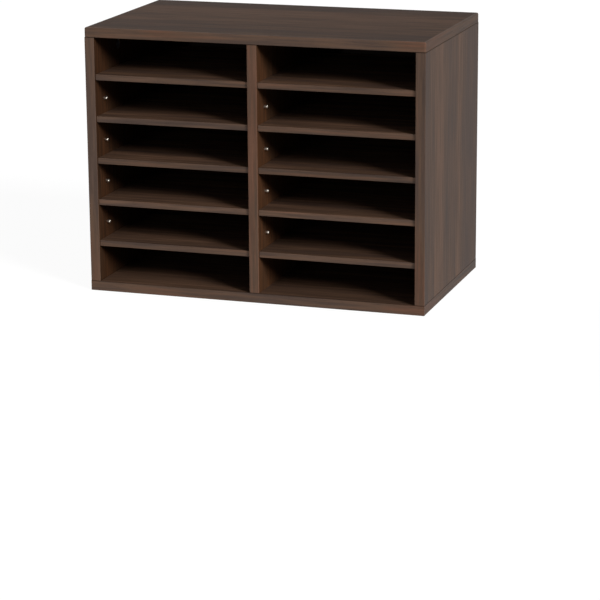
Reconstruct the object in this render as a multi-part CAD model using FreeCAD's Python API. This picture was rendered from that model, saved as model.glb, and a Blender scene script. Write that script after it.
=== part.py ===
import FreeCAD, Part
import math
import os
from FreeCAD import Vector

# Literature organizer: an open case of laminated board, split by a divider into two
# columns, with a hardboard back and removable shelves that rest on steel pins.
# Millimetres. The origin is the centre of the underside, +X right, +Y back, +Z up.

# Case
case_width = 530.0
case_depth = 305.0
case_height = 406.0
board_thickness = 15.0

# Edge bands glued on the cut edges of the boards
top_band_thickness = 3.0
top_band_rounding = 2.7
band_thickness = 1.0
band_rounding = 0.8
band_bevel = 0.5
rounding_limit = 0.9

# Hardboard back, slid into grooves round the inside of the case
back_thickness = 3.0
back_inset = 10.0
back_groove_depth = 6.0
back_groove_slack = 0.2
back_edge_clearance = 0.5

# Shelves, and the rows of pin holes that set their heights
shelf_thickness = 9.0
shelf_front_setback = 3.0
shelf_rear_clearance = 2.0
shelf_end_clearance = 0.5
hole_pitch = 32.0
holes_per_shelf = 2
lowest_clear_height = 55.0
least_top_clearance = 50.0

# Shelf pins
pin_diameter = 5.0
pin_reach = 5.5
pin_end_gap = 1.0
pin_bore_clearance = 0.05
pin_setback_front = 34.0
pin_setback_rear = 45.0

# Rebate under each end of a shelf, which slides over the pins
seat_clearance = 0.3
rebate_side_clearance = 1.0

# Cam locks that draw the top panel down
cam_diameter = 15.0
cam_skin = 2.5
cam_clearance = 0.1
cam_drop = 24.0
cam_setback = 96.0
cam_recess = 0.3
cam_wall = 2.0
cam_drive_width = 1.4
cam_drive_length = 9.0
cam_drive_depth = 1.6

# Cam bolts that stand in the underside of the top panel
bolt_thread_diameter = 5.0
bolt_thread_length = 11.0
bolt_collar_diameter = 7.4
bolt_collar_height = 1.5
bolt_shank_diameter = 6.0
bolt_neck_diameter = 4.2
bolt_neck_length = 5.0
bolt_head_diameter = 6.6
bolt_head_height = 2.6
bolt_bore_diameter = 8.0
bolt_bore_clearance = 0.05
bolt_end_gap = 1.0

# Wood dowels at the top and bottom joints
dowel_diameter = 8.0
dowel_length = 30.0
dowel_depth_in_panel = 10.0
dowel_clearance = 0.05
dowel_end_gap = 1.0
dowel_setback = 32.0

# Connector screws driven up through the bottom panel
screw_length = 48.0
screw_head_diameter = 10.0
screw_head_depth = 2.2
screw_shank_diameter = 7.0
screw_thread_diameter = 5.6
screw_tip_length = 4.0
screw_tip_diameter = 1.4
screw_clearance = 0.05
screw_end_gap = 1.0
screw_recess = 0.3
screw_setback = 64.0
socket_width = 4.0
socket_depth = 2.5

# Pan head screws that hold the back to the divider
back_screw_length = 16.0
back_screw_diameter = 3.0
back_screw_head_diameter = 7.0
back_screw_crown_diameter = 3.8
back_screw_head_height = 2.2
back_screw_tip_length = 4.5
back_screw_tip_diameter = 0.8
back_screw_clearance = 0.05
back_screw_margin = 70.0
back_screw_count = 3
back_screw_slot_width = 0.9
back_screw_slot_length = 3.5
back_screw_slot_depth = 1.1

# Flats round the small turned pieces and their bores, and round the shelf rebates
pin_flat_count = 10
screw_flat_count = 10
pan_head_flat_count = 3
cam_flat_count = 12
joint_flat_count = 8
rebate_flat_count = 16
socket_side_count = 6

# Places worked out from the sizes above
half_width = case_width / 2
half_depth = case_depth / 2
inner_half_width = half_width - board_thickness
half_divider = board_thickness / 2
floor_height = board_thickness
ceiling_height = case_height - board_thickness
inner_height = ceiling_height - floor_height
back_front_face = half_depth - back_inset - back_thickness
shelf_pitch = hole_pitch * holes_per_shelf
clear_above_first = inner_height - lowest_clear_height - shelf_thickness - least_top_clearance
shelf_levels = int(clear_above_first / shelf_pitch) + 1
row_count = (shelf_levels - 1) * holes_per_shelf + 1
lowest_row = floor_height + lowest_clear_height
pin_grip = (board_thickness - pin_end_gap) / 2
pin_columns = [-half_depth + pin_setback_front, half_depth - pin_setback_rear]
pin_rows = [lowest_row + hole_pitch * row for row in range(row_count)]
upright_centres = [-half_width + board_thickness / 2, 0.0, half_width - board_thickness / 2]
top_arris_radius = min(top_band_rounding, top_band_thickness * rounding_limit)
arris_radius = min(band_rounding, band_thickness * rounding_limit)
same_place = 1e-6
x_axis = Vector(1, 0, 0)
y_axis = Vector(0, 1, 0)
z_axis = Vector(0, 0, 1)


def block(low_x, high_x, low_y, high_y, low_z, high_z):
    size = Vector(high_x - low_x, high_y - low_y, high_z - low_z)
    return Part.makeBox(size.x, size.y, size.z, Vector(low_x, low_y, low_z))


def ring(radius, distance, flats):
    """The corners of a regular polygon about the Z axis, the first one repeated last."""
    corner = Vector(radius, 0, distance)
    turns = [FreeCAD.Rotation(z_axis, 360 * step / flats) for step in range(flats)]
    corners = [turn.multVec(corner) for turn in turns]
    return corners + corners[:1]


def turned(profile, start, direction, flats):
    """A turned piece from (distance along the axis, radius) points, with flats round it."""
    rings = [ring(radius, distance, flats) for distance, radius in profile]
    faces = [Part.Face(Part.makePolygon(rings[0])), Part.Face(Part.makePolygon(rings[-1]))]
    for lower, upper in zip(rings, rings[1:]):
        for step in range(flats):
            corners = [lower[step], lower[step + 1], upper[step + 1], upper[step], lower[step]]
            faces.append(Part.Face(Part.makePolygon(corners)))
    solid = Part.Solid(Part.Shell(faces))
    solid.Placement = FreeCAD.Placement(start, FreeCAD.Rotation(z_axis, direction))
    return solid


def rod(radius, start, direction, length, flats):
    return turned([(0, radius), (length, radius)], start, direction, flats)


def edges_on(solid, **planes):
    """The edges whose ends all lie on the given planes, such as y=-152.5."""
    found = []
    for edge in solid.Edges:
        ends = [vertex.Point for vertex in edge.Vertexes]
        gaps = [getattr(end, axis) - place for end in ends for axis, place in planes.items()]
        if max(abs(gap) for gap in gaps) < same_place:
            found.append(edge)
    return found


def front_and_rear(setback):
    return [-half_depth + setback, half_depth - setback]


def write(name, shape):
    shape.exportStep(os.path.join("parts", name + ".step"))


def write_group(name, solids):
    write(name, Part.makeCompound(solids))


# Edge bands

def long_band(side, low_z, high_z, thickness):
    """Band on the front (side -1) or rear (side 1) edge of a full width panel."""
    outer = side * half_depth
    inner = side * (half_depth - thickness)
    return block(-half_width, half_width, min(outer, inner), max(outer, inner), low_z, high_z)


def end_band(side, low_z, high_z, thickness):
    """Band on the left (side -1) or right (side 1) end of a full width panel."""
    outer = side * half_width
    inner = side * (half_width - thickness)
    reach = half_depth - thickness
    return block(min(outer, inner), max(outer, inner), -reach, reach, low_z, high_z)


def round_long_band(band, side, exposed_z, hidden_z, radius):
    """Round the arris that shows and bevel the one against the uprights."""
    outer = side * half_depth
    rounded = band.makeFillet(radius, edges_on(band, y=outer, z=exposed_z))
    return rounded.makeChamfer(band_bevel, edges_on(rounded, y=outer, z=hidden_z))


def round_end_band(band, side, exposed_z, hidden_z, radius):
    outer = side * half_width
    rounded = band.makeFillet(radius, edges_on(band, x=outer, z=exposed_z))
    return rounded.makeChamfer(band_bevel, edges_on(rounded, x=outer, z=hidden_z))


def round_top_corners(band, side):
    """Round a long top band over its ends too, where it makes the corners of the top."""
    outer = side * half_depth
    edges = edges_on(band, y=outer, z=case_height)
    for end in (-half_width, half_width):
        edges += edges_on(band, x=end, y=outer) + edges_on(band, x=end, z=case_height)
    rounded = band.makeFillet(top_arris_radius, edges)
    return rounded.makeChamfer(band_bevel, edges_on(rounded, y=outer, z=ceiling_height))


def upright_band(centre_x, outer_y, inner_y):
    """Band on the front or rear edge of a side panel or the divider."""
    left = centre_x - board_thickness / 2
    right = centre_x + board_thickness / 2
    low_y = min(outer_y, inner_y)
    high_y = max(outer_y, inner_y)
    band = block(left, right, low_y, high_y, floor_height, ceiling_height)
    arrises = edges_on(band, x=left, y=outer_y) + edges_on(band, x=right, y=outer_y)
    return band.makeFillet(arris_radius, arrises)


# Bores shared by the boards and what goes into them

def dowel_bores(board_face, direction):
    """Bores for the dowels of one joint plane, to one side of it."""
    into_panel = direction.z * (board_face - case_height / 2) > 0
    depth = dowel_depth_in_panel if into_panel else dowel_length - dowel_depth_in_panel
    radius = dowel_diameter / 2 + dowel_clearance
    bores = []
    for centre_x in upright_centres:
        for centre_y in front_and_rear(dowel_setback):
            start = Vector(centre_x, centre_y, board_face)
            bores.append(rod(radius, start, direction, depth + dowel_end_gap, joint_flat_count))
    return bores


def back_groove():
    """The space cut out of the four case boards round the edge of the back."""
    reach_x = inner_half_width + back_groove_depth
    slack = back_groove_slack / 2
    return block(
        -reach_x, reach_x,
        back_front_face - slack, back_front_face + back_thickness + slack,
        floor_height - back_groove_depth, ceiling_height + back_groove_depth)


# Case boards

def top_panel():
    reach_x = half_width - top_band_thickness
    reach_y = half_depth - top_band_thickness
    panel = block(-reach_x, reach_x, -reach_y, reach_y, ceiling_height, case_height)
    cuts = [back_groove()] + dowel_bores(ceiling_height, z_axis)
    for centre_x in upright_centres:
        for centre_y in front_and_rear(cam_setback):
            mouth = Vector(centre_x, centre_y, ceiling_height)
            radius = bolt_thread_diameter / 2 + bolt_bore_clearance
            depth = bolt_thread_length + bolt_end_gap
            cuts.append(rod(radius, mouth, z_axis, depth, joint_flat_count))
    return panel.cut(cuts)


def bottom_panel():
    reach_x = half_width - band_thickness
    reach_y = half_depth - band_thickness
    panel = block(-reach_x, reach_x, -reach_y, reach_y, 0, floor_height)
    cuts = [back_groove()] + dowel_bores(floor_height, -z_axis)
    head_radius = screw_head_diameter / 2 + screw_clearance
    shank_radius = screw_shank_diameter / 2 + screw_clearance
    countersink = [(0, head_radius), (screw_recess, head_radius),
                   (screw_recess + screw_head_depth, shank_radius),
                   (board_thickness, shank_radius)]
    for centre_x in upright_centres:
        for centre_y in front_and_rear(screw_setback):
            mouth = Vector(centre_x, centre_y, 0)
            cuts.append(turned(countersink, mouth, z_axis, screw_flat_count))
    return panel.cut(cuts)


def joint_bores(centre_x, cam_face):
    """Bores at the top and bottom of an upright board for bolts, cams, dowels, screws.

    cam_face is 1 where the cams are let into the face towards +X, and -1 towards -X.
    """
    cuts = dowel_bores(ceiling_height, -z_axis) + dowel_bores(floor_height, z_axis)
    face_x = centre_x + cam_face * board_thickness / 2
    for centre_y in front_and_rear(cam_setback):
        mouth = Vector(centre_x, centre_y, ceiling_height)
        cuts.append(rod(bolt_bore_diameter / 2, mouth, -z_axis, cam_drop, joint_flat_count))
        cam_mouth = Vector(face_x, centre_y, ceiling_height - cam_drop)
        radius = cam_diameter / 2
        depth = board_thickness - cam_skin
        cuts.append(rod(radius, cam_mouth, x_axis * -cam_face, depth, cam_flat_count))
    pilot = screw_length + screw_recess + screw_end_gap - floor_height
    radius = screw_thread_diameter / 2 + screw_clearance
    for centre_y in front_and_rear(screw_setback):
        mouth = Vector(centre_x, centre_y, floor_height)
        cuts.append(rod(radius, mouth, z_axis, pilot, screw_flat_count))
    return cuts


def pin_bores(face_x, direction, depth):
    """Two columns of shelf pin holes, bored from a wall face into the board."""
    radius = pin_diameter / 2 + pin_bore_clearance
    bores = []
    for centre_y in pin_columns:
        for height in pin_rows:
            mouth = Vector(face_x, centre_y, height)
            bores.append(rod(radius, mouth, direction, depth, pin_flat_count))
    return bores


def side_panel(side):
    """Left (side -1) or right (side 1) wall of the case."""
    centre_x = side * (half_width - board_thickness / 2)
    reach_y = half_depth - band_thickness
    left = centre_x - board_thickness / 2
    right = centre_x + board_thickness / 2
    panel = block(left, right, -reach_y, reach_y, floor_height, ceiling_height)
    inner_face = side * inner_half_width
    cuts = [back_groove()] + joint_bores(centre_x, -side)
    cuts += pin_bores(inner_face, x_axis * side, pin_grip + pin_end_gap)
    return panel.cut(cuts)


def centre_divider():
    front = -half_depth + band_thickness
    panel = block(-half_divider, half_divider, front, back_front_face, floor_height, ceiling_height)
    cuts = joint_bores(0.0, -1)
    cuts += pin_bores(-half_divider, x_axis, board_thickness)
    radius = back_screw_diameter / 2 + back_screw_clearance
    depth = back_screw_length - back_thickness + screw_end_gap
    for height in back_screw_heights():
        mouth = Vector(0, back_front_face, height)
        cuts.append(rod(radius, mouth, -y_axis, depth, screw_flat_count))
    return panel.cut(cuts)


def back_panel():
    reach_x = inner_half_width + back_groove_depth - back_edge_clearance
    low_z = floor_height - back_groove_depth + back_edge_clearance
    high_z = ceiling_height + back_groove_depth - back_edge_clearance
    back_face = back_front_face + back_thickness
    panel = block(-reach_x, reach_x, back_front_face, back_face, low_z, high_z)
    radius = back_screw_diameter / 2 + back_screw_clearance
    holes = []
    for height in back_screw_heights():
        mouth = Vector(0, back_front_face + back_thickness, height)
        holes.append(rod(radius, mouth, -y_axis, back_thickness, screw_flat_count))
    return panel.cut(holes)


# Shelves

def column_walls(side):
    """The two wall faces, left and right, of the left (-1) or right (1) column."""
    if side < 0:
        return -inner_half_width, -half_divider
    return half_divider, inner_half_width


def shelf_heights():
    """Underside of each shelf, from the top shelf down."""
    levels = [lowest_row + shelf_pitch * level for level in range(shelf_levels)]
    return list(reversed(levels))


def shelf(side, underside):
    left_wall, right_wall = column_walls(side)
    left = left_wall + shelf_end_clearance
    right = right_wall - shelf_end_clearance
    front = -half_depth + shelf_front_setback + band_thickness
    rear = back_front_face - shelf_rear_clearance
    board = block(left, right, front, rear, underside, underside + shelf_thickness)
    width = pin_reach - shelf_end_clearance + rebate_side_clearance
    depth = pin_diameter / 2 + seat_clearance
    stop = -half_depth + pin_setback_front
    cuts = []
    for end in (left, right):
        cuts.append(block(end - width, end + width, stop, rear, underside, underside + depth))
        cuts.append(rod(width, Vector(end, stop, underside), z_axis, depth, rebate_flat_count))
    return board.cut(cuts)


def shelf_band(side, underside):
    left_wall, right_wall = column_walls(side)
    outer = -half_depth + shelf_front_setback
    top = underside + shelf_thickness
    band = block(
        left_wall + shelf_end_clearance, right_wall - shelf_end_clearance,
        outer, outer + band_thickness, underside, top)
    arrises = edges_on(band, y=outer, z=underside) + edges_on(band, y=outer, z=top)
    return band.makeFillet(arris_radius, arrises)


# Pins and fasteners

def shelf_pins(face_x, direction):
    """Every pin that stands out of one wall face, under the shelves and spare."""
    radius = pin_diameter / 2
    length = pin_grip + pin_reach
    pins = []
    for centre_y in pin_columns:
        for height in pin_rows:
            foot = Vector(face_x, centre_y, height) - direction * pin_grip
            pins.append(rod(radius, foot, direction, length, pin_flat_count))
    return pins


def cam_lock(centre_x, centre_y, cam_face):
    """Round cam let into the board: a hollow drum, open where the bolt's head goes in."""
    outward = x_axis * cam_face
    radius = cam_diameter / 2 - cam_clearance
    depth = board_thickness - cam_skin
    height = ceiling_height - cam_drop
    foot_x = centre_x + cam_face * (board_thickness / 2 - depth)
    foot = Vector(foot_x, centre_y, height)
    drum = rod(radius, foot, outward, depth - cam_recess, cam_flat_count)
    pocket_reach = bolt_head_diameter / 2 + cam_clearance * 2
    pocket_start = Vector(centre_x, centre_y, height) - outward * pocket_reach
    pocket = rod(radius - cam_wall, pocket_start, outward, pocket_reach * 2, cam_flat_count)
    slot_reach = bolt_neck_diameter / 2 + cam_clearance * 2
    neck_slot = block(
        centre_x - slot_reach, centre_x + slot_reach,
        centre_y - slot_reach, centre_y + radius, height, height + radius)
    mouth = block(
        centre_x - pocket_reach, centre_x + pocket_reach,
        centre_y, centre_y + radius, height - pocket_reach, height + pocket_reach)
    drum = drum.cut([pocket, neck_slot, mouth])
    face_x = foot_x + cam_face * (depth - cam_recess)
    drive_x = sorted([face_x, face_x - cam_face * cam_drive_depth])
    long = cam_drive_length / 2
    short = cam_drive_width / 2
    cross = [
        block(*drive_x, centre_y - long, centre_y + long, height - short, height + short),
        block(*drive_x, centre_y - short, centre_y + short, height - long, height + long)]
    return drum.cut(cross)


def cam_bolt(centre_x, centre_y):
    """Bolt from the top panel down to its head inside the cam."""
    thread = bolt_thread_diameter / 2
    collar = bolt_collar_diameter / 2
    shank = bolt_shank_diameter / 2
    neck = bolt_neck_diameter / 2
    head = bolt_head_diameter / 2
    pocket = (cam_diameter / 2 - cam_clearance - cam_wall) * math.cos(math.pi / cam_flat_count)
    shoulder = cam_drop - math.sqrt(pocket ** 2 - head ** 2) + cam_clearance
    neck_start = shoulder - bolt_neck_length
    profile = [
        (-bolt_thread_length, thread), (0, thread), (0, collar), (bolt_collar_height, collar),
        (bolt_collar_height, shank), (neck_start, shank), (neck_start, neck), (shoulder, neck),
        (shoulder, head), (shoulder + bolt_head_height, head)]
    foot = Vector(centre_x, centre_y, ceiling_height)
    return turned(profile, foot, -z_axis, joint_flat_count)


def dowel(centre_x, centre_y, joint_height, towards_panel):
    foot = Vector(centre_x, centre_y, joint_height)
    foot -= towards_panel * (dowel_length - dowel_depth_in_panel)
    return rod(dowel_diameter / 2, foot, towards_panel, dowel_length, joint_flat_count)


def connector_screw(centre_x, centre_y):
    """Countersunk connector screw with a hexagon socket, its thread at mean diameter."""
    shank = screw_shank_diameter / 2
    thread = screw_thread_diameter / 2
    shank_end = floor_height - screw_recess
    profile = [
        (0, screw_head_diameter / 2), (screw_head_depth, shank), (shank_end, shank),
        (shank_end, thread), (screw_length - screw_tip_length, thread),
        (screw_length, screw_tip_diameter / 2)]
    head = Vector(centre_x, centre_y, screw_recess)
    screw = turned(profile, head, z_axis, screw_flat_count)
    corner_radius = socket_width / 2 / math.cos(math.pi / socket_side_count)
    return screw.cut(rod(corner_radius, head, z_axis, socket_depth, socket_side_count))


def back_screw_heights():
    low = floor_height + back_screw_margin
    high = ceiling_height - back_screw_margin
    step = (high - low) / (back_screw_count - 1)
    return [low + step * index for index in range(back_screw_count)]


def back_screw(height):
    """Pan head screw through the back into the rear edge of the divider."""
    head = back_screw_head_diameter / 2
    shank = back_screw_diameter / 2
    crown = back_screw_head_height
    flat_top = back_screw_crown_diameter / 2
    profile = []
    for step in range(pan_head_flat_count + 1):
        turn = math.pi / 2 * step / pan_head_flat_count
        profile.append((-crown * math.cos(turn), flat_top + (head - flat_top) * math.sin(turn)))
    profile += [
        (0, shank), (back_screw_length - back_screw_tip_length, shank),
        (back_screw_length, back_screw_tip_diameter / 2)]
    seat = Vector(0, back_front_face + back_thickness, height)
    screw = turned(profile, seat, -y_axis, screw_flat_count)
    half_slot = back_screw_slot_width / 2
    reach = back_screw_slot_length / 2
    slot_y = [seat.y + crown - back_screw_slot_depth, seat.y + crown]
    cross = [
        block(-reach, reach, *slot_y, height - half_slot, height + half_slot),
        block(-half_slot, half_slot, *slot_y, height - reach, height + reach)]
    return screw.cut(cross)


def write_case_boards():
    write("top_panel", top_panel())
    write("bottom_panel", bottom_panel())
    write("left_side_panel", side_panel(-1))
    write("right_side_panel", side_panel(1))
    write("centre_divider", centre_divider())
    write("back_panel", back_panel())


def write_case_bands():
    for side, name in ((-1, "front"), (1, "rear")):
        top = long_band(side, ceiling_height, case_height, top_band_thickness)
        write("top_" + name + "_band", round_top_corners(top, side))
        bottom = long_band(side, 0, floor_height, band_thickness)
        bottom = round_long_band(bottom, side, 0, floor_height, arris_radius)
        write("bottom_" + name + "_band", bottom)
    for side, name in ((-1, "left"), (1, "right")):
        top = end_band(side, ceiling_height, case_height, top_band_thickness)
        top = round_end_band(top, side, case_height, ceiling_height, top_arris_radius)
        write("top_" + name + "_band", top)
        bottom = end_band(side, 0, floor_height, band_thickness)
        bottom = round_end_band(bottom, side, 0, floor_height, arris_radius)
        write("bottom_" + name + "_band", bottom)
    front = (-half_depth, -half_depth + band_thickness)
    rear = (half_depth, half_depth - band_thickness)
    write("left_side_front_band", upright_band(upright_centres[0], *front))
    write("left_side_rear_band", upright_band(upright_centres[0], *rear))
    write("right_side_front_band", upright_band(upright_centres[2], *front))
    write("right_side_rear_band", upright_band(upright_centres[2], *rear))
    write("divider_front_band", upright_band(0.0, *front))


def write_shelves():
    for side, column in ((-1, "left"), (1, "right")):
        for number, underside in enumerate(shelf_heights(), start=1):
            name = column + "_shelf_" + str(number)
            write(name, shelf(side, underside))
            write(name + "_band", shelf_band(side, underside))


def write_pins():
    write_group("left_side_shelf_pins", shelf_pins(-inner_half_width, x_axis))
    write_group("divider_left_shelf_pins", shelf_pins(-half_divider, -x_axis))
    write_group("divider_right_shelf_pins", shelf_pins(half_divider, x_axis))
    write_group("right_side_shelf_pins", shelf_pins(inner_half_width, -x_axis))


def write_fasteners():
    cams = []
    bolts = []
    dowels = []
    screws = []
    for centre_x, cam_face in zip(upright_centres, (1, -1, -1)):
        for centre_y in front_and_rear(cam_setback):
            cams.append(cam_lock(centre_x, centre_y, cam_face))
            bolts.append(cam_bolt(centre_x, centre_y))
        for centre_y in front_and_rear(dowel_setback):
            dowels.append(dowel(centre_x, centre_y, ceiling_height, z_axis))
            dowels.append(dowel(centre_x, centre_y, floor_height, -z_axis))
        for centre_y in front_and_rear(screw_setback):
            screws.append(connector_screw(centre_x, centre_y))
    write_group("cam_locks", cams)
    write_group("cam_bolts", bolts)
    write_group("wood_dowels", dowels)
    write_group("connector_screws", screws)
    write_group("back_screws", [back_screw(height) for height in back_screw_heights()])


os.makedirs("parts", exist_ok=True)
write_case_boards()
write_case_bands()
write_shelves()
write_pins()
write_fasteners()
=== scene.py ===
import math
import bmesh
import bpy
from mathutils import Matrix, Vector


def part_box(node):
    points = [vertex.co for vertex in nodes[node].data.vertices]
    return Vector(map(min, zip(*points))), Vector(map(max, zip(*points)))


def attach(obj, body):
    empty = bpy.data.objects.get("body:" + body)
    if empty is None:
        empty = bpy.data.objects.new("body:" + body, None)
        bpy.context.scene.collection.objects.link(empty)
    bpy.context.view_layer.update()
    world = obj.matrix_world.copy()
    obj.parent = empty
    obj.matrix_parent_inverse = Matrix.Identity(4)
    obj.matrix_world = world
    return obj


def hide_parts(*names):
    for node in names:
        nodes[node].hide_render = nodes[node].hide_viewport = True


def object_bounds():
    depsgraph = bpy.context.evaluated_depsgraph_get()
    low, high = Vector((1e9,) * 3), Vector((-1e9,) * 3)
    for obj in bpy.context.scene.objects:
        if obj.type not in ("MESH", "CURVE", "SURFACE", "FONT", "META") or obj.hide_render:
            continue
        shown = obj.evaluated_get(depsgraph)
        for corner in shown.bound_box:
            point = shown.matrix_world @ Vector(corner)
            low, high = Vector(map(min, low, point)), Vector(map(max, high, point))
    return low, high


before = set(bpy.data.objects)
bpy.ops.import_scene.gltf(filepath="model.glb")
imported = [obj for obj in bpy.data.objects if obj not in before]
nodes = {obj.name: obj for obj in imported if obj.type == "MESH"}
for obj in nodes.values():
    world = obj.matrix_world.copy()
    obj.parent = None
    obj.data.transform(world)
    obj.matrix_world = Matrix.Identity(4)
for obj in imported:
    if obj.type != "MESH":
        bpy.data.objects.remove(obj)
cadLow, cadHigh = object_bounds()
mm = 0.001
print("frame loaded:", len(nodes), "nodes")


# small helpers

def linearColour(hexText):
    parts = [int(hexText[i:i + 2], 16) / 255 for i in (1, 3, 5)]
    return [p / 12.92 if p <= 0.04045 else ((p + 0.055) / 1.055) ** 2.4 for p in parts] + [1.0]


def addNode(tree, kind, inputs=None, links=None, **settings):
    # inputs are values and links are sockets, by the input's name or number: on a Mix node 0 is the
    # share, 2 and 3 are its numbers, 6 and 7 its colours, and output 2 is the mixed colour
    node = tree.nodes.new("ShaderNode" + kind)
    for name, value in settings.items():
        setattr(node, name, value)
    for socket, value in (inputs or {}).items():
        node.inputs[socket].default_value = value
    for socket, source in (links or {}).items():
        tree.links.new(source, node.inputs[socket])
    return node


def newMaterial(name):
    material = bpy.data.materials.new(name)
    material.use_nodes = True
    material.node_tree.nodes.clear()
    return material, material.node_tree


def fillRamp(ramp, stops):
    # a stop is a place and either a colour or, as a number, a grey
    bar = ramp.color_ramp
    while len(bar.elements) < len(stops):
        bar.elements.new(0.5)
    for element, (place, colour) in zip(bar.elements, stops):
        element.position = place
        element.color = linearColour(colour) if isinstance(colour, str) else (colour, colour, colour, 1)


def stretched(axis, length, width):
    # mapping scale for marks that are so long along the grain and so wide across it, in mm
    scale = [1 / (width * mm)] * 3
    scale["XYZ".index(axis)] = 1 / (length * mm)
    return scale


# camera

camera = {
    "place": (1.20139, -3.54256, 0.96795),
    "yaw": 18.418,      # degrees round to the right from straight in front
    "pitch": 15.009,    # degrees looking down
    "roll": -0.414,     # degrees about the line of sight
    "lens": 148.46,
    "sensor": 36.0,
    "clip": (0.1, 50),
}


def addCamera():
    yaw, pitch, roll = (math.radians(camera[turn]) for turn in ("yaw", "pitch", "roll"))
    back = Vector((math.sin(yaw) * math.cos(pitch), -math.cos(yaw) * math.cos(pitch), math.sin(pitch)))
    right = Vector((math.cos(yaw), math.sin(yaw), 0))
    up = back.cross(right)
    tiltedRight = math.cos(roll) * right + math.sin(roll) * up
    tiltedUp = math.cos(roll) * up - math.sin(roll) * right
    data = bpy.data.cameras.new("photoCamera")
    data.lens = camera["lens"]
    data.sensor_width = camera["sensor"]
    data.clip_start, data.clip_end = camera["clip"]
    holder = bpy.data.objects.new("photoCamera", data)
    bpy.context.scene.collection.objects.link(holder)
    turn = Matrix((tiltedRight, tiltedUp, back)).transposed().to_4x4()
    holder.matrix_world = Matrix.Translation(camera["place"]) @ turn
    bpy.context.scene.camera = holder


addCamera()
print("camera set")


# light, world and floor

lamps = {
    # name: direction towards the lamp, strength, angular size in degrees
    "keyLamp": ((0.793, -0.453, 0.408), 3.93, 19.0),
    "frontLamp": ((-0.14, -0.99, 0.02), 0.95, 2.0),
    "rearLamp": ((-0.85, 0.45, 0.28), 2.2, 30.0),
}
surroundings = {
    "seen": 1.0,               # white for the camera, in reflections and through glass
    "ambient": 0.06,           # what falls on dull surfaces from all round
    "floorSize": 12.0,
    "floorHeight": -0.0003,    # a hair under the case, so that the two never share a plane
    "floorGlow": 0.93,         # share of the white floor that the lamps don't have to light
    "floorShade": 0.13,        # share that the object's shadow takes away
    "floorColour": "#8C8C8C",  # what dull surfaces get back from the floor
}


def addLamps():
    for name, (towards, strength, size) in lamps.items():
        data = bpy.data.lights.new(name, "SUN")
        data.energy = strength
        data.angle = math.radians(size)
        lamp = bpy.data.objects.new(name, data)
        bpy.context.scene.collection.objects.link(lamp)
        lamp.rotation_mode = "QUATERNION"
        lamp.rotation_quaternion = Vector(towards).to_track_quat("Z", "Y")


def seenDirectly(tree):
    # 1 for rays from the camera, in a reflection or through glass, 0 for the light on dull surfaces
    path = addNode(tree, "LightPath")
    first = addNode(tree, "Math", operation="MAXIMUM",
                    links={0: path.outputs["Is Camera Ray"], 1: path.outputs["Is Glossy Ray"]})
    both = addNode(tree, "Math", operation="MAXIMUM",
                   links={0: first.outputs[0], 1: path.outputs["Is Transmission Ray"]})
    return both.outputs[0]


def addWorld():
    world = bpy.data.worlds.new("studio")
    world.use_nodes = True
    tree = world.node_tree
    tree.nodes.clear()
    strength = addNode(tree, "MapRange", links={"Value": seenDirectly(tree)},
                       inputs={"To Min": surroundings["ambient"], "To Max": surroundings["seen"]})
    sky = addNode(tree, "Background", inputs={"Color": (1, 1, 1, 1)},
                  links={"Strength": strength.outputs[0]})
    addNode(tree, "OutputWorld", links={"Surface": sky.outputs[0]})
    bpy.context.scene.world = world


def paintedStudioFloor():
    # matt white paint: even and bright, with only a faint shadow where the object stands
    material, tree = newMaterial("paintedStudioFloor")
    dull = addNode(tree, "BsdfDiffuse", inputs={"Color": linearColour(surroundings["floorColour"])})
    white = addNode(tree, "Emission", inputs={"Color": (1, 1, 1, 1), "Strength": surroundings["floorGlow"]})
    shade = addNode(tree, "BsdfDiffuse", inputs={"Color": [surroundings["floorShade"]] * 3 + [1]})
    bright = addNode(tree, "AddShader", links={0: white.outputs[0], 1: shade.outputs[0]})
    mixed = addNode(tree, "MixShader",
                    links={0: seenDirectly(tree), 1: dull.outputs[0], 2: bright.outputs[0]})
    addNode(tree, "OutputMaterial", links={"Surface": mixed.outputs[0]})
    return material


def addFloor():
    bpy.ops.object.select_all(action="DESELECT")
    bpy.ops.mesh.primitive_plane_add(size=surroundings["floorSize"],
                                     location=(0, 0, surroundings["floorHeight"]))
    floor = bpy.context.object
    floor.name = "studioFloor"
    floor.data.materials.append(paintedStudioFloor())


bpy.context.scene.view_settings.view_transform = "Standard"
addLamps()
addWorld()
addFloor()
print("lamps, world and floor set")


# walnut boards and their edging

walnut = {
    # colours of the printed decor paper: strips from cool to warm brown
    "paper": ["#403028", "#4C382B", "#5D4536"],
    # the same on the plastic edging
    "edging": ["#3D3029", "#46352A", "#4B3428"],
    # and on the inner faces of the uprights, which with their lower tones below are painted shade of the
    # compartments
    "inner": ["#432F21", "#452E1E", "#482D1B"],
    # marks in the print, as (length along the grain, width across it) in mm
    "marks": {"streak": (110, 4.5), "line": (50, 1.6), "pore": (13, 0.45)},
    # the noise behind the strips and the marks: detail, roughness, and the span that is spread from 0 to 1
    "noise": {"strip": (2, 0.5, 0.36, 0.64), "streak": (2, 0.55, 0.32, 0.68), "line": (2, 0.6, 0.3, 0.7),
              "pore": (1, 0.5, 0.62, 0.72)},
    "waver": (320, 120),    # length and width of the bends of the grain, and how far they push it, in mm
    "waverAmount": 5.0,
    "lineShare": 0.6,       # of a board's contrast, in its fine lines
    "poreTone": 0.72,
    "poreDepth": 0.05,
    "ior": 1.5,
    "laminateRoughness": (0.78, 0.86),
    "edgingRoughness": (0.60, 0.68),
    # raw chipboard where the board is cut
    "chip": "#A9875E",
    "chipDark": "#6E5132",
    "chipSize": (2.5, 2.5),
    "chipRoughness": 0.9,
    "skin": 0.4,            # thickness of the laminate, in mm
    "straight": 0.9,        # how straight out a face has to look to carry it
    # dark line where a band or a side panel meets the panel above or below it: partly a glue line, partly
    # painted shade of the small groove between the rounded arrises
    "jointReach": 1.1,
    "jointShade": 0.3,
}
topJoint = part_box("top_panel")[0].z
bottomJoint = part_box("left_side_panel")[0].z
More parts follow.
